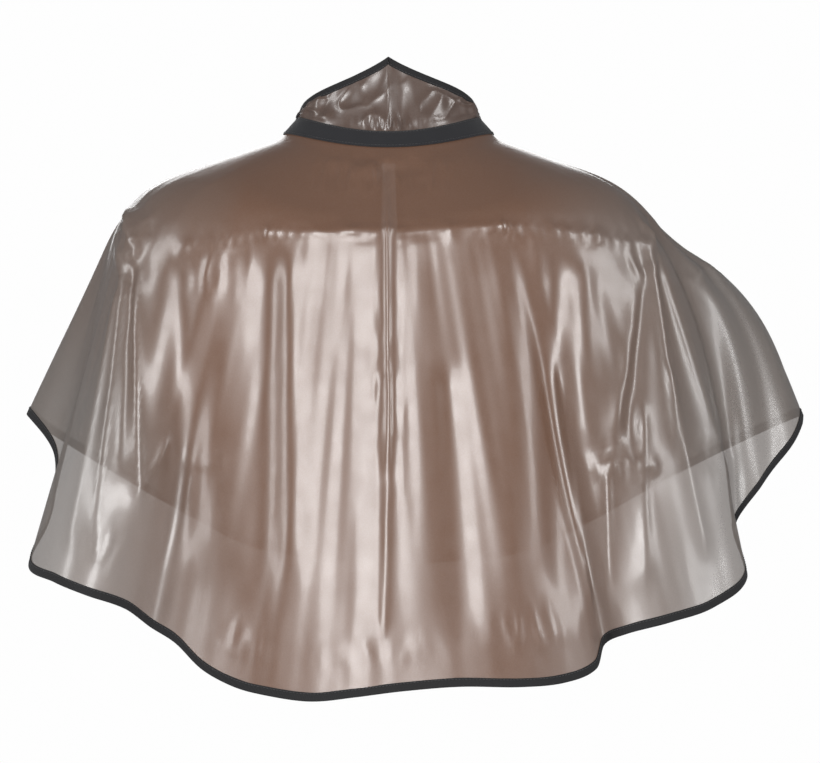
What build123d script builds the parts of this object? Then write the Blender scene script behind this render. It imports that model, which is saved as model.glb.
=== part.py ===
"""Barber cape: a see-through film cape with a stand-up collar flap, shaped as it hangs when worn.

Every length is in millimetres.  The origin is the centre of the neckband, +Z is up, the wearer faces -Y
and the wearer's left is +X.  An angle round the neck is 0 at the middle of the back, +90 on the wearer's
left and 180 at the front opening.

The film is about 0.2 mm thick; here it is a 1 mm sheet so that its mesh stays watertight.
"""

import os
from math import cos, exp, pi, radians, sin

from build123d import *

# --- driving dimensions -----------------------------------------------------------------------------
FILM = 1.0                 # thickness of the film stand-in
BAND_WIDTH = 20.0          # neckband tape, top edge to lower edge
BAND_TILT = 42.0           # degrees the band leans out from upright
BAND_HALF_X = 90.0         # half size of the neck loop across the shoulders, at mid band
BAND_HALF_Y = 72.0         # half size of the neck loop front to back, at mid band
BAND_MEAN = -1.1           # mean height of the band
BAND_TIP = 4.85            # how far the band tips down to the front
BAND_DIP = 10.1            # how far it dips at the back and front between the shoulders
PLY = 1.0                  # one layer of neckband tape
TAPE_GAP = 0.15            # clearance between a tape and the film it is sewn to
HEM_BINDING = 7.0          # finished width of the bias binding on the hem and the front edges
COLLAR_BINDING = 5.5       # finished width of the binding on the collar edge
BINDING_WALL = 0.8         # thickness of a folded binding layer
BINDING_LIP = 1.2          # how far a binding reaches past the raw edge
HEM_CLEARANCE = 0.6        # between the end of a front binding and the hem binding
FILM_TUCK = 6.0            # the film's top edge lies this far below the band's top edge
COLLAR_HEIGHT = 70.0       # collar flap at the middle of the back
COLLAR_END = 100.0         # degrees round the neck where the flap has run out
COLLAR_RUN_OUT = 105.0     # degrees where its height would reach zero
COLLAR_FALL = 1.22         # how hollow the slope of the flap's edge is
COLLAR_LEAN = 12.0         # degrees the flap leans in towards the neck
COLLAR_GAP = 0.6           # clearance between the flap and the band's top edge
FRONT_EDGE = 176.0         # degrees round the neck where each front edge leaves the band
SHOULDER_LEFT = 247.0      # shoulder break from the centre, wearer's left
SHOULDER_RIGHT = 239.0     # shoulder break from the centre, wearer's right
SHOULDER_BACK = 138.0      # upper back from the centre
SHOULDER_FRONT = 130.0     # upper chest from the centre
SHOULDER_SQUARENESS = 2.3  # exponent of the rounded outline over the shoulders
SHOULDER_DROP = 53.0       # height of the break below the origin at the sides
CHEST_DROP = 39.0          # how much lower it lies at the back and front
SHOULDER_ROUND = 50.0      # length over which the film rounds the shoulders and the chest
BACK_ROUND = 18.0          # the same at the back, where the film folds over more sharply
SWELL = 40.0               # how far the film swells over the wearer's right upper arm
SWELL_ANGLE = -102.0       # middle of that swelling, degrees round the neck
SWELL_WIDTH = 24.0         # and its half width, degrees
SWELL_SHIFT = 0.65         # below 1, so the swelling is fullest above the middle of the fall
BAND_ROUND = 7.0           # length over which the film bends away from the band
STRAP_THICK = 1.2          # closing strap
STRAP_ROOT = 5.5           # the strap's hinge line from the middle of the front, wearer's right
STRAP_HINGE_GAP = 1.2      # between the fixed root of the strap and its moving part
STRAP_TIP = 128.0          # degrees round the neck that the strap reaches on the wearer's left
PATCH_EDGE = 2.0           # bare tape left above and below a hook or loop patch
PATCH_THICK = 0.8          # hook patch and loop patch
BODY_GAP = 0.35            # clearance between the moving strap and the neckband side

# Hem of the hanging cape: angle round the neck it comes from, then X, Y and Z.
HEM = (
    (-176, -34, -188, -402), (-163, -127, -186, -391), (-149, -197, -180, -359), (-137, -263, -158, -321),
    (-125, -329, -118, -286), (-114, -372, -72, -264), (-106, -388, -38, -259), (-98, -373, -8, -286),
    (-90, -344, 14, -322), (-82, -319, 24, -361), (-75, -326, 72, -404), (-66, -295, 104, -429),
    (-56, -254, 122, -442), (-46, -213, 122, -453), (-41, -195, 108, -463), (-37, -187, 122, -484),
    (-30, -158, 142, -495), (-21, -118, 156, -498), (-11, -64, 166, -497), (-1, -11, 170, -501),
    (7, 29, 172, -506), (15, 69, 168, -510), (23, 110, 158, -505), (30, 139, 144, -498),
    (36, 167, 127, -484), (42, 192, 112, -461), (47, 215, 104, -447), (52, 236, 122, -430),
    (60, 271, 134, -417), (67, 300, 120, -406), (74, 326, 76, -393), (82, 311, 30, -348),
    (90, 310, -6, -292), (98, 338, -48, -257), (110, 322, -104, -274), (124, 264, -154, -313),
    (140, 195, -180, -354), (156, 130, -186, -386), (176, 36, -188, -402),
)
HEM_STEPS = 3              # stations per interval of the hem table


# --- the shape of the hanging cape -----------------------------------------------------------------
def outward(angle):
    """Level direction away from the neck, on the ellipse of the neckband."""
    a = radians(angle)
    return Vector(sin(a) / BAND_HALF_X, cos(a) / BAND_HALF_Y, 0).normalized()


def band_middle(angle):
    """Middle of the neckband: high over the shoulders, low at the back and lowest at the front."""
    a = radians(angle)
    height = BAND_MEAN + BAND_TIP * cos(a) - BAND_DIP * cos(2 * a)
    return Vector(BAND_HALF_X * sin(a), BAND_HALF_Y * cos(a), height)


def band_down(angle):
    """Direction across the tape, from its top edge to its lower edge."""
    tilt = radians(BAND_TILT)
    return outward(angle) * sin(tilt) - Vector(0, 0, cos(tilt))


def band_out(angle):
    """Direction out of the tape's outer face."""
    tilt = radians(BAND_TILT)
    return outward(angle) * cos(tilt) + Vector(0, 0, sin(tilt))


def band_point(angle, down, out=0.0):
    """A point `down` below the band's top edge and `out` from its middle layer."""
    across = band_down(angle) * (down - BAND_WIDTH / 2)
    return band_middle(angle) + across + band_out(angle) * out


def shoulder(angle):
    """Where the film breaks over the shoulders, upper back and chest."""
    a = radians(angle)
    half_x = SHOULDER_LEFT if sin(a) > 0 else SHOULDER_RIGHT
    half_y = SHOULDER_BACK if cos(a) > 0 else SHOULDER_FRONT
    n = SHOULDER_SQUARENESS
    reach = (abs(sin(a) / half_x) ** n + abs(cos(a) / half_y) ** n) ** (-1 / n)
    return Vector(reach * sin(a), reach * cos(a), -SHOULDER_DROP - CHEST_DROP * cos(a) ** 2)


def hem(angle):
    """The hem, as a smooth curve through the table."""
    last = len(HEM) - 2
    k = 0
    while k < last and HEM[k + 1][0] < angle:
        k += 1
    left, right = HEM[k], HEM[k + 1]
    before = HEM[max(k - 1, 0)]
    after = HEM[min(k + 2, last + 1)]
    span = right[0] - left[0]
    t = (angle - left[0]) / span
    coords = []
    for axis in (1, 2, 3):
        slope_left = (right[axis] - before[axis]) / (right[0] - before[0]) * span
        slope_right = (after[axis] - left[axis]) / (after[0] - left[0]) * span
        value = (2 * t**3 - 3 * t**2 + 1) * left[axis] + (t**3 - 2 * t**2 + t) * slope_left
        value += (3 * t**2 - 2 * t**3) * right[axis] + (t**3 - t**2) * slope_right
        coords.append(value)
    return Vector(*coords)


def rounded(before, corner, after, length, steps):
    """Points of a parabola that rounds one corner of a broken line."""
    start = corner + (before - corner).normalized() * length
    end = corner + (after - corner).normalized() * length
    points = []
    for k in range(steps + 1):
        t = k / steps
        points.append(start * (1 - t) ** 2 + corner * (2 * t * (1 - t)) + end * t**2)
    return points


def fall_line(angle):
    """The film's path from under the band, over the shoulder and down to the hem."""
    top = band_point(angle, FILM_TUCK)
    bend = band_point(angle, BAND_WIDTH + BAND_ROUND)
    turn = shoulder(angle)
    end = hem(angle)
    path = [top]
    path += rounded(top, bend, turn, BAND_ROUND, 8)
    path += rounded(bend, turn, end, turn_length(angle), 16)
    return path + swollen(path[-1], end, angle)


def smooth_step(t):
    t = min(max(t, 0.0), 1.0)
    return t * t * (3 - 2 * t)


def turn_length(angle):
    """Length over which the film turns down: short across the back."""
    flatness = smooth_step((60 - abs(angle)) / 25)
    return SHOULDER_ROUND * (1 - flatness) + BACK_ROUND * flatness


def swollen(start, end, angle):
    """The rest of a fall line, straight except where the film swells over the upper arm."""
    swell = SWELL * exp(-((angle - SWELL_ANGLE) / SWELL_WIDTH) ** 2)
    level = Vector(end.X, end.Y, 0).normalized()
    steps = 12
    points = []
    for k in range(1, steps + 1):
        t = k / steps
        points.append(start + (end - start) * t + level * (swell * sin(pi * t**SWELL_SHIFT)))
    return points


def along(path, distance):
    """The point a given distance along a broken line."""
    for k in range(len(path) - 1):
        step = (path[k + 1] - path[k]).length
        if distance <= step or k == len(path) - 2:
            return path[k] + (path[k + 1] - path[k]) * (distance / step)
        distance -= step
    return path[-1]


def path_length(path):
    return sum((path[k + 1] - path[k]).length for k in range(len(path) - 1))


def hem_angles():
    angles = []
    for k in range(len(HEM) - 1):
        for step in range(HEM_STEPS):
            angles.append(HEM[k][0] + (HEM[k + 1][0] - HEM[k][0]) * step / HEM_STEPS)
    angles.append(HEM[-1][0])
    return angles


def film_rows(length):
    """Distances down one fall line: close together by the band, even lower down."""
    near = [0, 5, 10, 14, 18, 22, 27, 34, 44, 58]
    count = 22
    start, end = near[-1], length - HEM_BINDING
    even = [start + (end - start) * (k + 1) / count for k in range(count)]
    return near + even + [length - HEM_BINDING / 2, length]


def film_grid():
    """Points of the film's middle layer, one row per angle."""
    grid = []
    for angle in hem_angles():
        path = fall_line(angle)
        grid.append([along(path, distance) for distance in film_rows(path_length(path))])
    return grid


def grid_normals(grid):
    """Unit normals of a point grid, pointing out of the cape."""
    rows, columns = len(grid), len(grid[0])
    normals = []
    for i in range(rows):
        line = []
        for j in range(columns):
            round_neck = grid[min(i + 1, rows - 1)][j] - grid[max(i - 1, 0)][j]
            downward = grid[i][min(j + 1, columns - 1)] - grid[i][max(j - 1, 0)]
            line.append(downward.cross(round_neck).normalized())
        normals.append(line)
    return normals


# --- solids ------------------------------------------------------------------------------------------
def sheet(grid, normals, low, high):
    """A curved sheet between two offsets of a point grid: smooth round the neck, in short bands downwards."""
    rows, columns = len(grid), len(grid[0])
    rails = {}
    for offset in (low, high):
        for j in range(columns):
            points = [grid[i][j] + normals[i][j] * offset for i in range(rows)]
            rails[offset, j] = Edge.make_spline(points)
    faces = []
    for j in range(columns - 1):
        for offset in (low, high):
            faces.append(Face.make_surface_from_curves(rails[offset, j], rails[offset, j + 1]))
        for end in (0, 1):
            ends = [Edge.make_line(rails[offset, j] @ end, rails[offset, j + 1] @ end) for offset in (low, high)]
            faces.append(Face.make_surface_from_curves(*ends))
    for j in (0, columns - 1):
        faces.append(Face.make_surface_from_curves(rails[low, j], rails[high, j]))
    return closed_solid(faces)


def closed_solid(faces):
    body = Solid(Shell(faces))
    if body.volume < 0:
        body = Solid(body.wrapped.Reversed())
    return body


def strip(sections):
    """A smooth solid through a row of flat sections that all have the same number of corners."""
    corners = len(sections[0])
    rails = [Edge.make_spline([section[c] for section in sections]) for c in range(corners)]
    faces = [Face.make_surface_from_curves(rails[c], rails[(c + 1) % corners]) for c in range(corners)]
    return closed_solid(faces + end_caps(sections))


def jointed_strip(sections):
    """As strip, but straight from one section to the next."""
    corners = len(sections[0])
    faces = []
    for near, far in zip(sections, sections[1:]):
        lines = [Edge.make_line(near[c], far[c]) for c in range(corners)]
        faces += [Face.make_surface_from_curves(lines[c], lines[(c + 1) % corners]) for c in range(corners)]
    return closed_solid(faces + end_caps(sections))


def end_caps(sections):
    return [Face(Wire.make_polygon(section, close=True)) for section in (sections[0], sections[-1])]


def binding_section(edge, inner, out, width):
    """A folded tape round a raw edge: `edge` and `inner` lie on the film, `out` is its normal."""
    inward = (inner - edge).normalized()
    near = FILM / 2 + TAPE_GAP
    far = near + BINDING_WALL
    outline = (
        (width, near), (width, far), (-BINDING_LIP, far), (-BINDING_LIP, -far),
        (width, -far), (width, -near), (-TAPE_GAP, -near), (-TAPE_GAP, near),
    )
    out = (out - inward * out.dot(inward)).normalized()
    return [edge + inward * u + out * n for u, n in outline]


def band_strip(start, end, top, bottom, low, high, steps):
    """A tape that follows the neckband from one angle to another."""
    sections = []
    for k in range(steps + 1):
        angle = start + (end - start) * k / steps
        corners = ((top, low), (top, high), (bottom, high), (bottom, low))
        sections.append([band_point(angle, down, out) for down, out in corners])
    return strip(sections)


# --- parts -------------------------------------------------------------------------------------------
def make_cape_sheet(grid, normals):
    return sheet(grid, normals, -FILM / 2, FILM / 2)


def make_hem_binding(grid, normals):
    sections = []
    for line, out in zip(grid, normals):
        sections.append(binding_section(line[-1], line[-3], out[-1], HEM_BINDING))
    return strip(sections)


def make_front_binding(side, grid, normals):
    """The binding down one front edge; `side` is +1 for the wearer's left."""
    row = -1 if side > 0 else 0
    edge_line, edge_normals = grid[row], normals[row]
    edge_angle = side * FRONT_EDGE
    nearby = fall_line(edge_angle - side)
    nearby_rows = film_rows(path_length(nearby))
    first = 4                                # the first row clear of the neckband
    last = len(edge_line) - 3                # the row at the hem binding's inner edge
    sections = []
    for j in range(first, last + 1):
        edge = edge_line[j]
        spread = (along(nearby, nearby_rows[j]) - edge).length
        deep = fall_line(edge_angle - side * HEM_BINDING / spread)
        inner = along(deep, film_rows(path_length(deep))[j])
        if j == last:
            edge = edge + (edge_line[j - 1] - edge).normalized() * HEM_CLEARANCE
            inner = inner + (edge_line[j - 1] - edge).normalized() * HEM_CLEARANCE
        sections.append(binding_section(edge, inner, edge_normals[j], HEM_BINDING))
    return jointed_strip(sections)


def make_neckband_outer():
    near = FILM / 2 + TAPE_GAP
    return band_strip(-FRONT_EDGE, FRONT_EDGE, 0, BAND_WIDTH, near, near + PLY, 96)


def make_neckband_inner():
    near = FILM / 2 + TAPE_GAP
    return band_strip(-FRONT_EDGE, FRONT_EDGE, 0, BAND_WIDTH, -near - PLY, -near, 96)


def patch_level():
    """Offset of the loop patch's sewn face."""
    return FILM / 2 + TAPE_GAP + PLY + 0.05


def strap_level():
    """Offset of the strap's inner face when it is closed."""
    return patch_level() + PATCH_THICK + BODY_GAP + PATCH_THICK + 0.05


def front_angle(x):
    """Angle round the neck, near the front, of a point `x` from the middle on the wearer's left."""
    angle = FRONT_EDGE
    for _ in range(40):
        angle += (band_middle(angle).X - x) * 0.5
    return angle


def make_loop_patch():
    low = patch_level()
    return band_strip(172, 132, PATCH_EDGE, BAND_WIDTH - PATCH_EDGE, low, low + PATCH_THICK, 14)


def make_hook_patch():
    high = strap_level() - 0.05
    return band_strip(170, 134, PATCH_EDGE, BAND_WIDTH - PATCH_EDGE, high - PATCH_THICK, high, 14)


def make_strap_base():
    """The sewn-down root of the strap on the band's right end, folded up to the strap's level."""
    start = -STRAP_ROOT - STRAP_HINGE_GAP
    high = strap_level() + STRAP_THICK
    first = front_angle(start) - 360 if front_angle(start) > 180 else front_angle(start)
    return band_strip(first, first + 17, 0.5, BAND_WIDTH - 0.5, patch_level(), high, 8)


def make_strap_tab():
    low = strap_level()
    return band_strip(front_angle(-STRAP_ROOT), STRAP_TIP, 0.5, BAND_WIDTH - 0.5, low, low + STRAP_THICK, 24)


def collar_height(angle):
    return COLLAR_HEIGHT * (1 - abs(angle) / COLLAR_RUN_OUT) ** COLLAR_FALL


def collar_up(angle):
    lean = radians(COLLAR_LEAN)
    return Vector(0, 0, cos(lean)) - outward(angle) * sin(lean)


def collar_point(angle, up):
    """A point of the collar flap's middle layer, `up` along the flap from its base."""
    return band_point(angle, -COLLAR_GAP) + collar_up(angle) * up


def collar_angles():
    steps = 60
    return [-COLLAR_END + 2 * COLLAR_END * k / steps for k in range(steps + 1)]


def make_collar_sheet():
    rows = 6
    grid = []
    for angle in collar_angles():
        height = collar_height(angle)
        grid.append([collar_point(angle, height * (1 - j / rows)) for j in range(rows + 1)])
    return sheet(grid, grid_normals(grid), -FILM / 2, FILM / 2)


def make_collar_binding():
    sections = []
    for angle in collar_angles():
        if abs(angle) > 90:
            continue
        top = collar_point(angle, collar_height(angle))
        inner = collar_point(angle, 0)
        sections.append(binding_section(top, inner, outward(angle), COLLAR_BINDING))
    return strip(sections)


def main():
    os.makedirs("parts", exist_ok=True)
    grid = film_grid()
    normals = grid_normals(grid)
    parts = {
        "cape_sheet": make_cape_sheet(grid, normals),
        "hem_binding": make_hem_binding(grid, normals),
        "left_front_binding": make_front_binding(1, grid, normals),
        "right_front_binding": make_front_binding(-1, grid, normals),
        "neckband_outer": make_neckband_outer(),
        "neckband_inner": make_neckband_inner(),
        "loop_patch": make_loop_patch(),
        "strap_base": make_strap_base(),
        "strap_tab": make_strap_tab(),
        "hook_patch": make_hook_patch(),
        "collar_sheet": make_collar_sheet(),
        "collar_binding": make_collar_binding(),
    }
    for name, shape in parts.items():
        print(name, "valid", shape.is_valid, "volume", round(shape.volume), flush=True)
        shape.label = name
        export_step(shape, f"parts/{name}.step")


main()
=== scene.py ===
"""Looks of a see-through barber cape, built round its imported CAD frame.  Units are metres unless said."""
import math

import bmesh
import bpy
import mathutils
import numpy as np
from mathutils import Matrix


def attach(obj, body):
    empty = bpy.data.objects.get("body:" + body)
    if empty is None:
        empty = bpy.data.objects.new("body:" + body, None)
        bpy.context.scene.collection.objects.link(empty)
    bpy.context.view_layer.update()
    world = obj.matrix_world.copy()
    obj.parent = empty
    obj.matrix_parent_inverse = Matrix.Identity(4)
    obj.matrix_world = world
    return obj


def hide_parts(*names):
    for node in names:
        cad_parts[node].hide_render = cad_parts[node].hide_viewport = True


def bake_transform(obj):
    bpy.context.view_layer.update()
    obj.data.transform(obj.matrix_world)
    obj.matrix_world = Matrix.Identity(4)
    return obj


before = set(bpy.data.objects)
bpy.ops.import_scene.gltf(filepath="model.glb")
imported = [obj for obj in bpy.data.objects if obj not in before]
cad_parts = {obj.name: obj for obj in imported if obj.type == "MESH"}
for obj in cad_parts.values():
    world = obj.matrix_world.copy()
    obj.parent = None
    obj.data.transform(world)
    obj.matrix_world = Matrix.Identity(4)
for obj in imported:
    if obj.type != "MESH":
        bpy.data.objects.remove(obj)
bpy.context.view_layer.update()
MM = 0.001

# --- sizes of the real cape, in millimetres and degrees ------------------------------------------------
FILM = 0.4                                  # film thickness as drawn
BAND_WIDTH, BAND_TILT = 20.0, math.radians(42.0)
BAND_HALF_X, BAND_HALF_Y = 90.0, 72.0
BAND_MEAN, BAND_TIP, BAND_DIP = -1.1, 4.85, 10.1        # height of the band's middle line round the neck
FRONT_EDGE = 176.0                          # where the two front edges stop, round the neck
FILM_TUCK = 6.0                             # film starts this far down inside the band
BAND_CLEAR = 7.0                            # film leaves the band this far below it before bending
BAND_ROUND = 7.0
SHOULDER_LEFT, SHOULDER_RIGHT = 247.0, 239.0
SHOULDER_BACK, SHOULDER_FRONT = 138.0, 130.0
SHOULDER_DROP, CHEST_DROP = 53.0, 39.0
SHOULDER_POWER = 2.3                        # above 2, so the shoulder line is a little square
SHOULDER_ROUND, BACK_ROUND = 50.0, 18.0
SWELL, SWELL_ANGLE, SWELL_WIDTH, SWELL_SHIFT = 40.0, -102.0, 24.0, 0.65
HEM_TAPE, COLLAR_TAPE = 7.0, 5.5
TAPE_STITCH_LIFT = 0.80                     # seam thread off the middle of the film
PLY_INSIDE, PLY_OUTSIDE = 0.35, 1.6         # faces of one neckband ply, off the film's middle
BAND_SEAM, BAND_STITCH_LEVEL = 1.8, 1.62    # stitch row in from the band's edge, and off the film's middle
PATCH_EDGE = 2.0
LOOP_FACE, HOOK_FACE = 2.15, 3.3            # the two patches face each other at these levels
STRAP_STEP = 2.0
COLLAR_HEIGHT, COLLAR_END, COLLAR_RUN_OUT = 70.0, 100.0, 105.0
COLLAR_LEAN = math.radians(12.0)
COLUMNS, ROWS = 500, 98                     # film mesh round the neck and down the fall

# --- colours, each pair from the one end of a blend to the other ---------------------------------------
# painted shade: the first colour, a warm brown, stands in for the shaded body seen through the film; the
# second is the film's own smoky grey
FILM_BODY_SHADE_BROWN_AND_GREY = (0.122, 0.052, 0.024), (0.150, 0.125, 0.110)
# painted shade: both near-black browns stand in for the shaded neck seen through the collar, which is the
# same smoky film as the cape
COLLAR_BODY_SHADE_BROWNS = (0.055, 0.025, 0.014), (0.055, 0.030, 0.020)
BINDING_BLACKS = (0.006, 0.006, 0.007), (0.022, 0.020, 0.020)
WEBBING_BLACKS = (0.010, 0.010, 0.012), (0.030, 0.030, 0.036)
LOOP_BLACKS = (0.012, 0.012, 0.014), (0.07, 0.07, 0.075)

# Hem of the hanging cape: angle round the neck it comes from, then X, Y and Z.
HEM = np.array((
    (-176, -34, -188, -402), (-163, -127, -186, -391), (-149, -197, -180, -359), (-137, -263, -158, -321),
    (-125, -329, -118, -286), (-114, -372, -72, -264), (-106, -388, -38, -259), (-98, -373, -8, -286),
    (-90, -344, 14, -322), (-82, -319, 24, -361), (-75, -326, 72, -404), (-66, -295, 104, -429),
    (-56, -254, 122, -442), (-46, -213, 122, -453), (-41, -195, 108, -463), (-37, -187, 122, -484),
    (-30, -158, 142, -495), (-21, -118, 156, -498), (-11, -64, 166, -497), (-1, -11, 170, -501),
    (7, 29, 172, -506), (15, 69, 168, -510), (23, 110, 158, -505), (30, 139, 144, -498),
    (36, 167, 127, -484), (42, 192, 112, -461), (47, 215, 104, -447), (52, 236, 122, -430),
    (60, 271, 134, -417), (67, 300, 120, -406), (74, 326, 76, -393), (82, 311, 30, -348),
    (90, 310, -6, -292), (98, 338, -48, -257), (110, 322, -104, -274), (124, 264, -154, -313),
    (140, 195, -180, -354), (156, 130, -186, -386), (176, 36, -188, -402),
), float)

# Long folds on the back, in X and Z: start, end, height (below 0 a hollow), width at start and end, sharp.
FOLDS = (
    (1, -46, 0, -330, 4.4, 4, 4, 1), (0, -310, 4, -462, 3.0, 4, 5, 1),
    (108, -98, 114, -455, -4.5, 13, 20, 0), (88, -98, 86, -420, 2.6, 9, 14, 0),
    (46, -96, 50, -480, -1.6, 18, 26, 0), (-20, -100, -26, -470, 1.2, 14, 20, 0),
    (-52, -200, -72, -478, -3.2, 10, 20, 0), (-104, -96, -118, -450, 2.6, 18, 24, 0),
    (-150, -98, -158, -455, -5.0, 12, 22, 0), (-178, -110, -172, -300, 3.0, 10, 16, 0),
    (150, -100, 160, -420, 3.5, 16, 26, 0), (186, -105, 190, -400, -4.5, 12, 20, 0),
    (229, -118, 222, -360, 5.0, 3, 7, 1), (232, -112, 244, -330, -4.0, 4, 10, 0),
    (236, -118, 266, -390, 4.5, 3, 8, 1), (240, -120, 292, -410, 4.0, 4, 10, 1),
    (246, -116, 304, -330, -3.5, 5, 12, 0), (238, -66, 226, -112, 5.0, 3, 5, 1),
    (-233, -72, -236, -104, 4.5, 3, 4, 1), (-236, -104, -200, -290, 5.0, 3, 10, 1),
    (-234, -106, -216, -300, -4.5, 4, 10, 0), (-238, -106, -262, -300, 5.0, 3, 8, 1),
    (-250, -200, -290, -400, 4.0, 4, 9, 1), (-240, -104, -300, -330, -4.0, 5, 14, 0),
    (-242, -102, -322, -350, 3.2, 4, 9, 1), (-197, -298, -200, -452, 4.5, 3, 9, 1),
    (-230, -240, -232, -430, 3.4, 4, 9, 1), (-150, -200, -186, -460, 3.4, 6, 12, 1),
)
# Flattened fold lines left by packing: X and Z of both ends, height, width.
CREASES = (
    (186, -106, 106, -93, 1.6, 3.0), (106, -93, 0, -91, 2.0, 3.2), (0, -91, -101, -87, 2.0, 3.2),
    (-101, -87, -190, -97, 1.8, 3.0), (-190, -97, -236, -104, 2.2, 3.4),
    (-186, -299, -240, -303, 2.4, 3.6), (150, -300, 240, -296, 0.8, 4.0),
    (-292, -118, -330, -138, 2.0, 4.0), (200, -285, 226, -330, 1.8, 4.0),
)
# Crumpled places: X and Z of the centre, half size across and down, direction in degrees, height, grain.
CRUMPLES = (
    (2, -34, 60, 18, 90, 4.0, 12), (2, -90, 150, 9, 0, 1.6, 12), (-150, -92, 80, 9, 0, 1.8, 12),
    (236, -96, 18, 42, 65, 7.0, 13), (-236, -104, 18, 30, 65, 6.0, 12), (-206, -300, 30, 14, 15, 4.5, 12),
    (2, -484, 60, 22, 65, 4.0, 13), (134, -474, 26, 24, 100, 4.0, 12), (262, -396, 26, 30, 105, 4.0, 12),
    (-268, -424, 44, 20, 85, 2.6, 14), (-130, -462, 40, 26, 80, 2.6, 13), (2, -250, 16, 90, 90, 1.5, 11),
    (-292, -132, 26, 16, 30, 2.6, 12), (-300, -290, 20, 34, 100, 2.0, 12), (170, -120, 40, 30, 90, 1.6, 14),
)


# --- small helpers -------------------------------------------------------------------------------------
def unit(v):
    return v / np.maximum(np.linalg.norm(v, axis=-1, keepdims=True), 1e-12)


def ease(t):
    t = np.clip(t, 0.0, 1.0)
    return t * t * (3 - 2 * t)


def noise(u, v, seed):
    """Smooth value noise from 0 to 1."""
    iu, iv = np.floor(u), np.floor(v)
    fu, fv = ease(u - iu), ease(v - iv)

    def lattice(a, b):
        x = np.sin(a * 127.1 + b * 311.7 + seed * 74.7) * 43758.5453
        return x - np.floor(x)

    low = lattice(iu, iv) * (1 - fu) + lattice(iu + 1, iv) * fu
    high = lattice(iu, iv + 1) * (1 - fu) + lattice(iu + 1, iv + 1) * fu
    return low * (1 - fv) + high * fv


def make_mesh(name, verts, faces, material, smooth=True):
    mesh = bpy.data.meshes.new(name)
    mesh.from_pydata((np.asarray(verts) * MM).tolist(), [], [tuple(int(i) for i in f) for f in faces])
    mesh.polygons.foreach_set("use_smooth", [smooth] * len(mesh.polygons))
    mesh.materials.append(material)
    shape = bmesh.new()
    shape.from_mesh(mesh)
    bmesh.ops.recalc_face_normals(shape, faces=shape.faces)
    shape.to_mesh(mesh)
    shape.free()
    mesh.update()
    obj = bpy.data.objects.new(name, mesh)
    bpy.context.collection.objects.link(obj)
    return obj


def grid_faces(rows, columns, start=0, flip=False):
    i, j = np.meshgrid(np.arange(rows - 1), np.arange(columns - 1), indexing="ij")
    a = start + i * columns + j
    quads = np.stack([a, a + columns, a + columns + 1, a + 1], -1).reshape(-1, 4)
    return quads[:, ::-1] if flip else quads


def grid_normals(p):
    across = np.gradient(p, axis=0)
    down = np.gradient(p, axis=1)
    return unit(np.cross(across, down))


def film_shell(name, p, material):
    """A closed thin shell on both sides of a grid of points."""
    n = grid_normals(p)
    rows, columns = p.shape[:2]
    outer, inner = p + n * FILM / 2, p - n * FILM / 2
    verts = np.concatenate([outer.reshape(-1, 3), inner.reshape(-1, 3)])
    half = rows * columns
    faces = [grid_faces(rows, columns, 0), grid_faces(rows, columns, half, True)]
    index = np.arange(half).reshape(rows, columns)
    loop = np.concatenate([index[0, :], index[1:, -1], index[-1, -2::-1], index[-2::-1, 0]])
    faces.append(np.stack([loop[:-1], loop[1:], loop[1:] + half, loop[:-1] + half], -1))
    return make_mesh(name, verts, np.concatenate(faces), material)


def sweep(name, sections, material):
    """A solid from a row of cross-sections, each a closed loop with the same number of corners."""
    k, c = sections.shape[:2]
    i, j = np.meshgrid(np.arange(k - 1), np.arange(c), indexing="ij")
    a, b = i * c + j, i * c + (j + 1) % c
    up = (i + 1) * c
    quads = np.stack([a, b, up + (j + 1) % c, up + j], -1).reshape(-1, 4).tolist()
    quads.append(list(range(c))[::-1])
    quads.append([(k - 1) * c + m for m in range(c)])
    return make_mesh(name, sections.reshape(-1, 3), quads, material)


def stitches(name, path, normal, material, pitch=3.1, length=2.3, thick=0.42, lift=0.12):
    """Separate stitches lying along a path; each end dips into the cloth."""
    steps = np.linalg.norm(np.diff(path, axis=0), axis=1)
    s = np.concatenate([[0], np.cumsum(steps)])
    starts = np.arange(pitch / 2, s[-1] - length, pitch)

    def at(q, values):
        return np.stack([np.interp(q, s, values[:, a]) for a in range(3)], -1)

    sides = 6
    profile = ((0.0, -0.5, 0.35), (0.12, 0.35, 0.8), (0.5, 0.75, 1.0), (0.88, 0.35, 0.8), (1.0, -0.5, 0.35))
    turn = np.arange(sides) * 2 * math.pi / sides
    rings = []
    for share, rise, girth in profile:
        centre = at(starts + share * length, path)
        up = unit(at(starts + share * length, normal))
        ahead = unit(at(starts + length, path) - at(starts, path))
        side = unit(np.cross(ahead, up))
        up = np.cross(side, ahead)
        centre = centre + up * (lift + rise * thick * 0.5)
        radius = girth * thick / 2
        ring = centre[:, None] + radius * (np.cos(turn)[None, :, None] * side[:, None]
                                           + np.sin(turn)[None, :, None] * up[:, None])
        rings.append(ring)
    rings = np.stack(rings, 1)                       # stitch, ring, side, xyz
    verts, faces = rings.reshape(-1, 3), []
    per = len(profile) * sides
    for k in range(len(starts)):
        base = k * per
        for r in range(len(profile) - 1):
            for m in range(sides):
                a = base + r * sides + m
                b = base + r * sides + (m + 1) % sides
                faces.append((a, b, b + sides, a + sides))
        faces.append(tuple(base + m for m in range(sides))[::-1])
        faces.append(tuple(base + (len(profile) - 1) * sides + m for m in range(sides)))
    return make_mesh(name, verts, faces, material)


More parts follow.
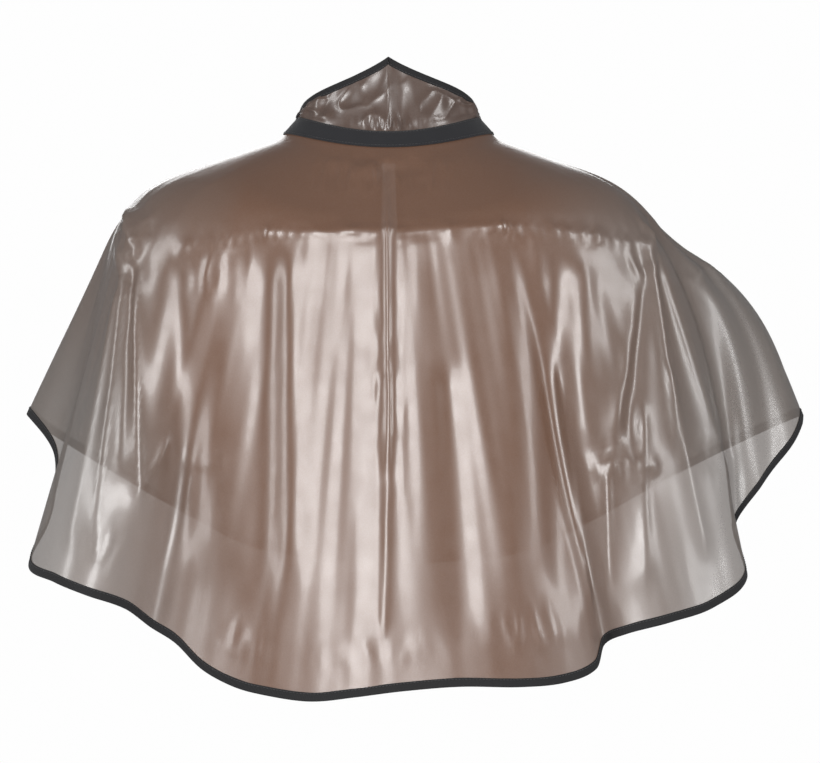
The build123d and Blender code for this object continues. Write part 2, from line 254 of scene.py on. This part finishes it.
# --- materials -----------------------------------------------------------------------------------------
class Nodes:
    """Short calls for building one material's node tree."""

    def __init__(self, name):
        self.material = bpy.data.materials.new(name)
        self.material.use_nodes = True
        self.tree = self.material.node_tree
        self.bsdf = self.tree.nodes["Principled BSDF"]
        self.coords = self.add("ShaderNodeTexCoord").outputs["Object"]

    def add(self, kind, links=(), **values):
        node = self.tree.nodes.new(kind)
        for key, value in values.items():
            setattr(node, key, value)
        for key, source in dict(links).items():
            if isinstance(source, bpy.types.NodeSocket):
                self.tree.links.new(source, node.inputs[key])
            else:
                node.inputs[key].default_value = source
        return node

    def noise(self, scale, detail=3.0, stretch=(1, 1, 1), roughness=0.5):
        mapped = self.add("ShaderNodeMapping", {"Vector": self.coords, "Scale": stretch})
        links = {"Vector": mapped.outputs[0], "Scale": scale, "Detail": detail, "Roughness": roughness}
        return self.add("ShaderNodeTexNoise", links).outputs["Fac"]

    def ramp(self, fac, stops):
        node = self.add("ShaderNodeValToRGB", {"Fac": fac})
        ramp = node.color_ramp
        while len(ramp.elements) < len(stops):
            ramp.elements.new(0.5)
        for element, (place, colour) in zip(ramp.elements, stops):
            element.position = place
            element.color = (*colour, 1)
        return node.outputs["Color"]

    def math(self, operation, a, b=0.0):
        return self.add("ShaderNodeMath", {0: a, 1: b}, operation=operation).outputs[0]

    def mix(self, fac, a, b):
        node = self.add("ShaderNodeMix", data_type="RGBA")
        for index, source in ((0, fac), (6, a), (7, b)):
            if isinstance(source, bpy.types.NodeSocket):
                self.tree.links.new(source, node.inputs[index])
            else:
                node.inputs[index].default_value = source
        return node.outputs[2]

    def bump(self, height, strength, distance, under=None):
        links = {"Height": height, "Strength": strength, "Distance": distance}
        if under is not None:
            links["Normal"] = under
        return self.add("ShaderNodeBump", links).outputs["Normal"]

    def set(self, **values):
        for key, value in values.items():
            socket = self.bsdf.inputs[key.replace("_", " ")]
            if isinstance(value, bpy.types.NodeSocket):
                self.tree.links.new(value, socket)
            else:
                socket.default_value = value


def film_material(name, body_shade_brown, grey, middle, flare):
    """Smoky see-through film with painted shade: warmer and denser in the middle, where the brown stands in
    for the shaded body seen through the film; greyer and clearer on the outer flares, the film's own smoky
    grey.
    """
    n = Nodes(name)
    # painted shade: this blend makes the film browner and denser towards the middle, standing in for the
    # body behind it; the real film is one even grey
    split = n.add("ShaderNodeSeparateXYZ", {"Vector": n.coords})
    side = n.math("ABSOLUTE", split.outputs["X"])
    cloud = n.noise(7.0, 2.0, (1, 1, 0.35))
    place = n.math("ADD", side, n.math("MULTIPLY", n.math("SUBTRACT", cloud, 0.5), 0.16))
    fac = n.ramp(n.math("MULTIPLY", place, 2.6), ((0.34, (0, 0, 0)), (0.80, (1, 1, 1))))
    colour = n.mix(fac, (*body_shade_brown, 1), (*grey, 1))
    speck = n.noise(900.0, 2.0)
    colour = n.mix(n.math("MULTIPLY", speck, 0.10), colour, (0.5, 0.46, 0.43, 1))
    alpha = n.mix(fac, (middle, middle, middle, 1), (flare, flare, flare, 1))
    rough = n.ramp(n.noise(60.0, 4.0), ((0.3, (0.34,) * 3), (0.75, (0.42,) * 3)))
    grain = n.bump(n.noise(1400.0, 2.0), 0.05, 0.0002)
    ripple = n.bump(n.noise(40.0, 3.0, (1, 1, 0.3)), 0.05, 0.0016, grain)
    n.set(Base_Color=colour, Roughness=rough, Normal=ripple, Alpha=alpha, IOR=1.5)
    n.set(Specular_IOR_Level=0.9, Coat_Weight=0.28, Coat_Roughness=0.14)
    return n.material


def tape_material(name, dark, light, weave, rough=0.8, sheen=0.25):
    """Black woven tape: fine crossed ribs with slightly faded threads."""
    n = Nodes(name)
    turned = n.add("ShaderNodeMapping", {"Vector": n.coords, "Rotation": (0.6, 0.5, 0.78)})
    ribs = []
    for axis in ("X", "Y"):
        links = {"Vector": turned.outputs[0], "Scale": weave, "Distortion": 0.4, "Detail": 1.0}
        ribs.append(n.add("ShaderNodeTexWave", links, bands_direction=axis).outputs["Fac"])
    cloth = n.math("MULTIPLY", ribs[0], ribs[1])
    fade = n.noise(38.0, 4.0)
    colour = n.mix(n.math("MULTIPLY", cloth, fade), (*dark, 1), (*light, 1))
    relief = n.bump(cloth, 0.35, 0.0003)
    fuzz = n.bump(n.noise(1500.0, 2.0), 0.15, 0.0002, relief)
    n.set(Base_Color=colour, Roughness=rough, Normal=fuzz, Sheen_Weight=sheen, Sheen_Roughness=0.5)
    n.set(Specular_IOR_Level=0.35)
    return n.material


def thread_material():
    n = Nodes("black_thread")
    twist = n.noise(1800.0, 1.0, (1, 1, 2.5))
    colour = n.mix(twist, (0.012, 0.012, 0.014, 1), (0.055, 0.053, 0.055, 1))
    n.set(Base_Color=colour, Roughness=0.55, Normal=n.bump(twist, 0.3, 0.0002), Sheen_Weight=0.1)
    return n.material


def hook_material():
    n = Nodes("nylon_hooks")
    colour = n.mix(n.noise(500.0, 2.0), (0.010, 0.010, 0.012, 1), (0.05, 0.05, 0.055, 1))
    n.set(Base_Color=colour, Roughness=0.38, Normal=n.bump(n.noise(700.0), 0.2, 0.0002), IOR=1.5)
    return n.material


# --- shape of the hanging film -----------------------------------------------------------------------
def outward(a):
    return unit(np.stack([np.sin(a) / BAND_HALF_X, np.cos(a) / BAND_HALF_Y, 0 * a], -1))


def band_point(a, down, out=0.0):
    """A point of the neckband: `down` from its top edge, `out` from its middle layer (a in radians)."""
    a = np.asarray(a, float)
    down = np.broadcast_to(np.asarray(down, float), a.shape)[..., None]
    out = np.broadcast_to(np.asarray(out, float), a.shape)[..., None]
    height = BAND_MEAN + BAND_TIP * np.cos(a) - BAND_DIP * np.cos(2 * a)
    middle = np.stack([BAND_HALF_X * np.sin(a), BAND_HALF_Y * np.cos(a), height], -1)
    away = outward(a)
    up = np.array([0, 0, 1.0])
    across = away * math.sin(BAND_TILT) - up * math.cos(BAND_TILT)
    face = away * math.cos(BAND_TILT) + up * math.sin(BAND_TILT)
    return middle + across * (down - BAND_WIDTH / 2) + face * out


def shoulder(a):
    """Where the film turns from lying on the shoulders to hanging, with a in radians."""
    half_x = np.where(np.sin(a) > 0, SHOULDER_LEFT, SHOULDER_RIGHT)
    half_y = np.where(np.cos(a) > 0, SHOULDER_BACK, SHOULDER_FRONT)
    n = SHOULDER_POWER
    reach = (np.abs(np.sin(a) / half_x) ** n + np.abs(np.cos(a) / half_y) ** n) ** (-1 / n)
    return np.stack([reach * np.sin(a), reach * np.cos(a), -SHOULDER_DROP - CHEST_DROP * np.cos(a) ** 2], -1)


def hem_curve(angle):
    """Smooth curve through the hem table, at angles in degrees."""
    x = HEM[:, 0]
    slope = np.empty((len(x), 3))
    slope[1:-1] = (HEM[2:, 1:] - HEM[:-2, 1:]) / (x[2:] - x[:-2])[:, None]
    slope[0] = (HEM[1, 1:] - HEM[0, 1:]) / (x[1] - x[0])
    slope[-1] = (HEM[-1, 1:] - HEM[-2, 1:]) / (x[-1] - x[-2])
    k = np.clip(np.searchsorted(x, angle, side="right") - 1, 0, len(x) - 2)
    span = (x[k + 1] - x[k])[:, None]
    t = (angle - x[k])[:, None] / span
    value = (2 * t**3 - 3 * t**2 + 1) * HEM[k, 1:] + (t**3 - 2 * t**2 + t) * slope[k] * span
    return value + (3 * t**2 - 2 * t**3) * HEM[k + 1, 1:] + (t**3 - t**2) * slope[k + 1] * span


def corner(before, at, after, length, steps):
    """A rounded corner from one straight run to the next, `length` back along each."""
    start = at + unit(before - at) * length
    end = at + unit(after - at) * length
    t = np.linspace(0, 1, steps + 1)[:, None]
    return start * (1 - t) ** 2 + at * (2 * t * (1 - t)) + end * t**2


def film_angles():
    """Angles round the neck, evenly spaced along the hem."""
    fine = np.linspace(-FRONT_EDGE, FRONT_EDGE, 4001)
    p = hem_curve(fine)
    s = np.concatenate([[0], np.cumsum(np.linalg.norm(np.diff(p, axis=0), axis=1))])
    s = s / s[-1] * 0.8 + np.linspace(0, 1, len(s)) * 0.2
    finer = np.where(np.abs(fine) < 100, 1.35, 0.7)            # more of the mesh on the back
    s = np.concatenate([[0], np.cumsum(np.diff(s) * finer[1:])])
    s = s / s[-1]
    return np.interp(np.linspace(0, 1, COLUMNS), s, fine)


def smooth_film():
    """The hanging film before its folds, as a grid: round the neck, then down."""
    angles = film_angles()
    a = np.radians(angles)
    top, bend = band_point(a, FILM_TUCK), band_point(a, BAND_WIDTH + BAND_CLEAR)
    turn, end = shoulder(a), hem_curve(angles)
    pace = np.interp(np.linspace(0, 1, ROWS - 10), (0, 0.08, 0.24, 0.32, 1), (1.0, 0.62, 0.62, 1.1, 1.1))
    share = np.concatenate([np.linspace(0, 0.06, 10), 0.06 + 0.94 * np.cumsum(pace) / np.sum(pace)])
    flatness = ease((60 - np.abs(angles)) / 25)
    grid = np.empty((COLUMNS, ROWS, 3))
    swollen = np.zeros(COLUMNS)
    for k in range(COLUMNS):
        length = SHOULDER_ROUND * (1 - flatness[k]) + BACK_ROUND * flatness[k]
        over = corner(bend[k], turn[k], end[k], length, 18)
        t = np.linspace(0, 1, 25)[1:, None]
        level = unit(end[k] * (1, 1, 0))
        swollen[k] = math.exp(-((angles[k] - SWELL_ANGLE) / SWELL_WIDTH) ** 2)
        swell = SWELL * swollen[k]
        rest = over[-1] + (end[k] - over[-1]) * t + level * swell * np.sin(math.pi * t**SWELL_SHIFT)
        path = np.concatenate([top[k:k + 1], corner(top[k], bend[k], turn[k], BAND_ROUND, 8), over, rest])
        s = np.concatenate([[0], np.cumsum(np.linalg.norm(np.diff(path, axis=0), axis=1))])
        for axis in range(3):
            grid[k, :, axis] = np.interp(share * s[-1], s, path[:, axis])
    for _ in range(40):                         # rounds the join where the swelling starts
        middle = grid[:, 20:-1]
        step = (grid[:, 19:-2] + grid[:, 21:]) / 2 - middle
        grid[:, 20:-1] = middle + step * 0.5 * swollen[:, None, None]
    return grid


def segment(x, z, x0, z0, x1, z1):
    """Distance from a segment, and how far along it, for arrays of X and Z."""
    dx, dz = x1 - x0, z1 - z0
    t = np.clip(((x - x0) * dx + (z - z0) * dz) / (dx * dx + dz * dz), 0, 1)
    return np.hypot(x - x0 - t * dx, z - z0 - t * dz), t


def fold_height(p, n):
    """How far each point stands out for folds, packing creases and crumples."""
    x, z = p[..., 0], p[..., 2]
    back = ease((n[..., 1] - 0.05) / 0.3)
    rise = np.zeros(x.shape)
    for x0, z0, x1, z1, height, start, end, sharp in FOLDS:
        d, t = segment(x, z, x0, z0, x1, z1)
        width = start + (end - start) * t
        fade = ease(t / 0.12) * ease((1 - t) / 0.2)
        shape = np.exp(-d / width) if sharp else np.exp(-(d / width) ** 2)
        rise += height * shape * fade * back
    for x0, z0, x1, z1, height, width in CREASES:
        d, t = segment(x, z, x0, z0, x1, z1)
        broken = 0.6 + 0.8 * noise(x / 17, z / 40, 5)
        rise += 1.5 * height * np.exp(-d / width) * broken * back
    for k, (cx, cz, rx, rz, turn, height, grain) in enumerate(CRUMPLES):
        reach = np.exp(-(((x - cx) / rx) ** 2 + ((z - cz) / rz) ** 2) * 1.2)
        c, s = math.cos(math.radians(turn)), math.sin(math.radians(turn))
        u, v = (x - cx) * c + (z - cz) * s, -(x - cx) * s + (z - cz) * c
        crag = 1 - np.abs(2 * noise(u / (grain * 2.6) + 9.3, v / grain + 4.1, 11 + k) - 1)
        crag = crag**2 + 0.45 * (1 - np.abs(2 * noise(u / grain, v / (grain * 0.6), 31 + k) - 1))
        rise += 1.3 * height * (crag - 0.6) * reach * back
    return rise


def soft_ripples(p, angles):
    """Slight waves that run down the film everywhere, most on the flares and the front."""
    rows = np.linspace(0, 1, p.shape[1])[None, :]
    a = angles[:, None]
    wave = noise(a / 5.5, rows * 2.0 + a * 0.01, 3) - 0.5
    wave = wave + 0.5 * (noise(a / 2.4, rows * 3.2, 8) - 0.5)
    grow = ease((rows - 0.1) / 0.5) * ease((1.02 - rows) / 0.1 + 0.4)
    return wave * grow * (1.5 + 3.4 * ease((np.abs(a) - 50) / 40))


def hanging_film():
    """The film with its folds, held even at the band and at the hem tape."""
    p = smooth_film()
    n = grid_normals(p)
    angles = film_angles()
    flat_hem = ease((ROWS - 4 - np.arange(ROWS)) / 6)[None, :]        # the tape needs an even edge
    rise = fold_height(p, n) * flat_hem + soft_ripples(p, angles)
    rise *= ease((np.arange(ROWS) - 5) / 6)[None, :]
    return p + n * rise[..., None]


# --- pieces ----------------------------------------------------------------------------------------------
def binding_loop(width, half_gap=0.24, wall=0.55, lip=1.1):
    """Outline of a folded tape round an edge: distance in from the edge, and distance off the film."""
    outer = half_gap + wall
    fold = [(-lip * math.sin(t), outer * math.cos(t)) for t in np.linspace(0, math.pi, 7)]
    return np.array([(width, half_gap), (width - 0.1, outer * 0.9), (width - 0.5, outer)] + fold
                    + [(width - 0.5, -outer), (width - 0.1, -outer * 0.9), (width, -half_gap),
                       (0.05, -half_gap), (0.05, half_gap)])


def binding(name, edge, inward, out, width, material, seed):
    """A folded tape along an edge, a little uneven as sewn tape is."""
    out = unit(out - inward * np.sum(out * inward, -1, keepdims=True))
    outline = binding_loop(width)
    s = np.arange(len(edge)) * 1.0
    pucker = 1 + 0.16 * (noise(s / 2.3, 0 * s, seed) - 0.5)
    u = outline[None, :, 0, None] * (1 + 0.05 * (noise(s / 5.0, 0 * s + 3, seed) - 0.5))[:, None, None]
    h = outline[None, :, 1, None] * pucker[:, None, None]
    sections = edge[:, None] + inward[:, None] * u + out[:, None] * h
    return sweep(name, sections, material)


def edge_stitches(name, edge, inward, out, depth, height, material):
    pieces = []
    for side, word in ((1, "out"), (-1, "in")):
        path = edge + inward * depth + out * side * height
        pieces.append(stitches(f"{name}_{word}", path, out * side, material))
    return pieces


def join(objects, name):
    """One object from several that share a material."""
    verts, faces = [], []
    for obj in objects:
        base = len(verts)
        verts += [v.co[:] for v in obj.data.vertices]
        faces += [tuple(base + i for i in f.vertices) for f in obj.data.polygons]
    material = objects[0].data.materials[0]
    joined = make_mesh(name, np.array(verts) / MM, faces, material)
    for obj in objects:
        bpy.data.objects.remove(obj)
    return joined


def tape_strip(name, angles, top, bottom, low, high, material, tip=0.0, step=None):
    """A flat tape that follows the neckband; `tip` rounds its far end, `step` changes its level."""
    a = np.radians(angles)
    s = np.concatenate([[0], np.cumsum(np.linalg.norm(np.diff(band_point(a, 10.0), axis=0), axis=1))])
    left = s[-1] - s
    squeeze = np.zeros(len(a))
    if tip > 0:
        t = np.clip(1 - left / tip, 0, 1)
        squeeze = tip * 0.8 * (1 - np.sqrt(1 - t * t))
    level = np.zeros(len(a)) if step is None else step
    wavy = 0.10 * (noise(s / 9, 0 * s, 2) - 0.5)
    edge = 0.3
    columns = []
    width = bottom - top
    shares = [(0, 0.2), (0, 0.8), (edge, 1.0), (width * 0.25, 1.02), (width * 0.5, 1.03),
              (width * 0.75, 1.02), (width - edge, 1.0), (width, 0.8), (width, 0.2), (width - edge, 0.0),
              (width * 0.5, 0.0), (edge, 0.0)]
    for down, share in shares:
        inset = squeeze if down < width / 2 else (-squeeze if down > width / 2 else 0 * squeeze)
        height = low + level + (high - low) * share
        columns.append(band_point(a, top + down + inset, height + wavy))
    return sweep(name, np.stack(columns, 1), material)


def band_stitches(name, angles, downs, level, material, length=2.4):
    a = np.radians(angles)
    rows = []
    for k, down in enumerate(downs):
        path = band_point(a, down, level)
        lift = band_point(a, down, level + 1.0) - path
        rows.append(stitches(f"{name}_{k}", path, lift, material, length=length))
    return join(rows, name) if len(rows) > 1 else rows[0]


def collar_height(angle):
    return COLLAR_HEIGHT * (1 - np.abs(angle) / COLLAR_RUN_OUT) ** np.where(angle > 0, 1.3, 1.15)


def collar_grid():
    """The collar flap: a pointed piece of film that stands up and leans in to the neck."""
    angles = np.linspace(-COLLAR_END, COLLAR_END, 241)
    rows = 34
    a = np.radians(angles)
    base = band_point(a, 6.0)
    top_edge = band_point(a, 0.0)
    lean = np.array([0, 0, math.cos(COLLAR_LEAN)]) - outward(a) * math.sin(COLLAR_LEAN)
    height = collar_height(angles)[:, None]
    share = np.linspace(1, 0, rows)[None, :]
    grid = top_edge[:, None] + lean[:, None] * (height * share)[..., None]
    tucked = np.linspace(0.25, 1, 4)[None, :, None]
    grid = np.concatenate([grid, top_edge[:, None] * (1 - tucked) + base[:, None] * tucked], 1)
    share = np.concatenate([share[0], np.zeros(4)])[None, :]
    t = angles[:, None]
    centre = 1.8 * np.exp(-np.abs(t) / 2.2) * ease(share / 0.2)
    gather = (noise(t / 9.0, share * 1.5 + t * 0.02, 21) - 0.5) * 5.0
    gather = gather * ease(share / 0.25) * ease((1.1 - share) / 0.5)
    crumple = (1 - np.abs(2 * noise(t / 14.0 + share * 2.0, share * 3.0 - t * 0.03, 23) - 1)) ** 2 * 2.0
    crumple = crumple * ease(share / 0.2) * ease((0.97 - share) / 0.3)
    fan = np.exp(-(t / 16) ** 2) * np.sin(t * 0.9) * np.exp(-((share - 0.12) / 0.12) ** 2) * 1.6
    sag = -3.0 * np.sin(math.pi * share) * np.exp(-(t / 50) ** 2)
    n = grid_normals(grid)
    n = n * np.sign(np.sum(n * outward(a)[:, None], -1, keepdims=True))
    rise = (centre + gather + crumple + fan + sag) * ease(share / 0.05)
    return angles, grid + n * rise[..., None]


HOOK_PATH = ((0, 0), (0.75, 0.1), (1.0, 0.55), (0.78, 0.95))      # share of the height, and how far over
LOOP_PATH = ((0, 0), (0.9, 0.35), (1.0, 0.8), (0.1, 1.3))
NECK_REACH = 75.0                           # band to neck centre near the patches, in millimetres


def bristles(name, angles, downs, low, tall, thick, material, path):
    """A field of tiny hooks or loops, each along `path`, standing on a patch."""
    verts, faces = [], []
    sides = 4
    for i, angle in enumerate(angles):
        for j, down in enumerate(downs):
            shift = 0.4 * math.sin(i * 12.9 + j * 78.2)
            a = math.radians(angle + (0.3 if j % 2 else 0))
            base = len(verts)
            for up, over in path:
                for m in range(sides):
                    t = 2 * math.pi * m / sides
                    u = down + shift + over * thick * 2.2 + math.cos(t) * thick / 2
                    turned = a + math.sin(t) * thick / 2 / NECK_REACH
                    verts.append(band_point(turned, u, low + tall * up))
            for r in range(len(path) - 1):
                for m in range(sides):
                    p, q = base + r * sides + m, base + r * sides + (m + 1) % sides
                    faces.append((p, q, q + sides, p + sides))
            faces.append(tuple(base + m for m in range(sides))[::-1])
            faces.append(tuple(base + (len(path) - 1) * sides + m for m in range(sides)))
    return make_mesh(name, np.array(verts), faces, material)


def build_cape(film, tape, thread):
    p = hanging_film()
    n = grid_normals(p)
    sheet = film_shell("cape_film", p, film)
    pieces = []
    inward = unit(p[:, -3] - p[:, -1])
    out = n[:, -2]
    hem = binding("hem_tape", p[:, -1], inward, out, HEM_TAPE, tape, 1)
    pieces.append((hem, "hem_binding"))
    depth = HEM_TAPE - 1.3
    seams = edge_stitches("hem_seam", p[:, -1], inward, out, depth, TAPE_STITCH_LIFT, thread)
    first, last = 6, ROWS - 1
    for column, step, word in ((0, 5, "right"), (-1, -5, "left")):
        edge = p[column, first:last]
        toward = p[step if column == 0 else column + step, first:last]
        inward = unit(toward - edge)
        out = n[column, first:last]
        front = binding(f"{word}_front_tape", edge, inward, out, HEM_TAPE, tape, 4 + step)
        pieces.append((front, f"{word}_front_binding"))
        seams += edge_stitches(f"{word}_front_seam", edge, inward, out, depth, TAPE_STITCH_LIFT, thread)
    seam = join(seams, "cape_stitches")
    return sheet, pieces, seam


def build_collar(film, tape, thread):
    angles, p = collar_grid()
    sheet = film_shell("collar_film", p, film)
    keep = np.abs(angles) < 97
    edge = p[keep, 0]
    along = unit(np.gradient(edge, axis=0))
    down = unit(p[keep, 3] - edge)
    inward = unit(down - along * np.sum(down * along, -1, keepdims=True))
    out = unit(np.cross(along, inward))
    out = out * np.sign(np.sum(out * outward(np.radians(angles[keep])), -1, keepdims=True))
    trim = binding("collar_tape", edge, inward, out, COLLAR_TAPE, tape, 9)
    rows = edge_stitches("collar_seam", edge, inward, out, COLLAR_TAPE - 1.2, TAPE_STITCH_LIFT, thread)
    return sheet, trim, join(rows, "collar_stitches")


def main():
    # the cape film's brown, denser middle is painted shade of the body behind, not a dye of the film
    film = film_material("smoky_film", *FILM_BODY_SHADE_BROWN_AND_GREY, 0.86, 0.62)
    # the collar's dark brown and its high alpha are painted shade of the neck behind it
    collar_look = film_material("smoky_collar_film", *COLLAR_BODY_SHADE_BROWNS, 0.94, 0.88)
    tape = tape_material("black_bias_tape", *BINDING_BLACKS, 330.0, 0.8, 0.05)
    webbing = tape_material("black_neck_tape", *WEBBING_BLACKS, 260.0, 0.85, 0.08)
    loops = tape_material("brushed_loops", *LOOP_BLACKS, 500.0, 0.95, 0.7)
    thread = thread_material()
    nylon = hook_material()
    add_cape(film, tape, thread)
    add_collar(collar_look, tape, thread)
    add_neckband(webbing, thread)
    add_patches(loops, nylon)
    add_strap(webbing)
    build_stage()


def add_cape(film, tape, thread):
    sheet, trims, seam = build_cape(film, tape, thread)
    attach(sheet, "cape")
    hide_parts("cape_sheet")
    for piece, node in trims:
        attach(piece, "cape")
        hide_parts(node)
    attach(seam, "cape")


def add_collar(film, tape, thread):
    collar, collar_trim, collar_seam = build_collar(film, tape, thread)
    for piece, slot, node in ((collar, "film", "collar_sheet"), (collar_trim, "binding", "collar_binding"),
                              (collar_seam, "binding", None)):
        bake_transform(piece)
        if node:
            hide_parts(node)


def add_neckband(webbing, thread):
    ring = np.linspace(-FRONT_EDGE, FRONT_EDGE, 361)
    outer = tape_strip("neckband_outer_tape", ring, 0.0, BAND_WIDTH, PLY_INSIDE, PLY_OUTSIDE, webbing)
    inner = tape_strip("neckband_inner_tape", ring, 0.0, BAND_WIDTH, -PLY_OUTSIDE, -PLY_INSIDE, webbing)
    downs = (BAND_SEAM, BAND_WIDTH - BAND_SEAM)
    band_seam = join([band_stitches("band_seam_out", ring, downs, BAND_STITCH_LEVEL, thread),
                      band_stitches("band_seam_in", ring, downs, -BAND_STITCH_LEVEL, thread)],
                     "neckband_stitches")
    for piece, node in ((outer, "neckband_outer"), (inner, "neckband_inner"), (band_seam, None)):
        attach(piece, "cape")
        if node:
            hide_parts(node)


def add_patches(loops, nylon):
    """The loop patch on the band and, facing it under the strap, the hook patch."""
    top, bottom = PATCH_EDGE, BAND_WIDTH - PATCH_EDGE
    rows = np.arange(3.0, 17.2, 0.85)
    loop = tape_strip("loop_patch_pile", np.linspace(172, 132, 60), top, bottom, 1.7, LOOP_FACE, loops)
    pile = bristles("loop_pile", np.arange(133, 171.5, 0.75), rows, LOOP_FACE, 0.33, 0.16, loops, LOOP_PATH)
    hook = tape_strip("hook_patch_base", np.linspace(170, 134, 54), top, bottom, HOOK_FACE, 3.65, nylon)
    places = np.arange(135, 169.5, 0.75)
    hooks = bristles("hook_field", places, rows, HOOK_FACE, -0.45, 0.15, nylon, HOOK_PATH)
    for piece, body, slot, node in ((loop, "cape", "loop", "loop_patch"), (pile, "cape", "loop", None),
                                    (hook, "strap", "hook", "hook_patch"), (hooks, "strap", "hook", None)):
        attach(piece, body)
        if node:
            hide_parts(node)


def add_strap(webbing):
    """The strap: sewn down at its root, then stepping up to lie over the two patches."""
    angles = np.linspace(200.0, 128.0, 110)
    reach = band_point(np.radians(angles), 10.0)[:, 0]
    level = STRAP_STEP * ease((reach + 16.0) / 16.0)
    edge = 0.6
    strap = tape_strip("strap_tape", angles, edge, BAND_WIDTH - edge, 1.7, 2.9, webbing, tip=8.0, step=level)
    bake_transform(strap)
    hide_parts("strap_base", "strap_tab")


def build_stage():
    floor = Nodes("pale_floor")
    shade = floor.mix(floor.noise(3.0), (0.80, 0.80, 0.80, 1), (0.86, 0.86, 0.855, 1))
    floor.set(Base_Color=shade, Roughness=0.6)
    radius, level = 2400.0, -1150.0
    turn = np.linspace(0, 2 * math.pi, 97)[:-1]
    rim = np.stack([radius * np.cos(turn), radius * np.sin(turn), level + 0 * turn], -1)
    make_mesh("floor", rim, [tuple(range(len(turn)))], floor.material, False)
    world = bpy.data.worlds.new("studio")
    world.use_nodes = True
    tree = world.node_tree
    seen, cast = tree.nodes["Background"], tree.nodes.new("ShaderNodeBackground")
    seen.inputs["Color"].default_value = (1.0, 1.0, 1.0, 1)
    seen.inputs["Strength"].default_value = 0.99
    cast.inputs["Color"].default_value = (0.96, 0.98, 1.0, 1)
    cast.inputs["Strength"].default_value = 0.24
    blend = tree.nodes.new("ShaderNodeMixShader")
    tree.links.new(tree.nodes.new("ShaderNodeLightPath").outputs["Is Camera Ray"], blend.inputs[0])
    tree.links.new(cast.outputs[0], blend.inputs[1])
    tree.links.new(seen.outputs[0], blend.inputs[2])
    tree.links.new(blend.outputs[0], tree.nodes["World Output"].inputs[0])
    bpy.context.scene.world = world
    bpy.context.scene.view_settings.view_transform = "Standard"
    for name, place, aim, size, power in (
        ("key_softbox", (0.20, 2.6, -0.05), (0, 0.1, -0.28), (0.9, 1.3), 52.0),
        ("left_softbox", (1.9, 0.9, 0.3), (0.1, 0, -0.2), (0.5, 1.4), 20.0),
        ("right_softbox", (-1.9, 1.1, 0.5), (-0.1, 0, -0.2), (0.5, 1.4), 22.0),
        ("front_fill", (0.2, -2.4, 0.5), (0, 0, -0.2), (1.4, 1.4), 22.0),
    ):
        light = bpy.data.lights.new(name, "AREA")
        light.shape = "RECTANGLE"
        light.size, light.size_y = size
        light.energy = power
        lamp = bpy.data.objects.new(name, light)
        lamp.location = place
        direction = np.array(aim) - np.array(place)
        lamp.rotation_euler = mathutils.Vector(direction).to_track_quat("-Z", "Y").to_euler()
        lamp.visible_camera = False
        bpy.context.collection.objects.link(lamp)
    camera = bpy.data.cameras.new("camera")
    camera.lens = 200.0
    rig = bpy.data.objects.new("camera", camera)
    rig.location = (-0.0198, 4.22, -0.2263)
    rig.rotation_euler = (math.radians(90), 0, math.radians(180))
    bpy.context.collection.objects.link(rig)
    bpy.context.scene.camera = rig


main()
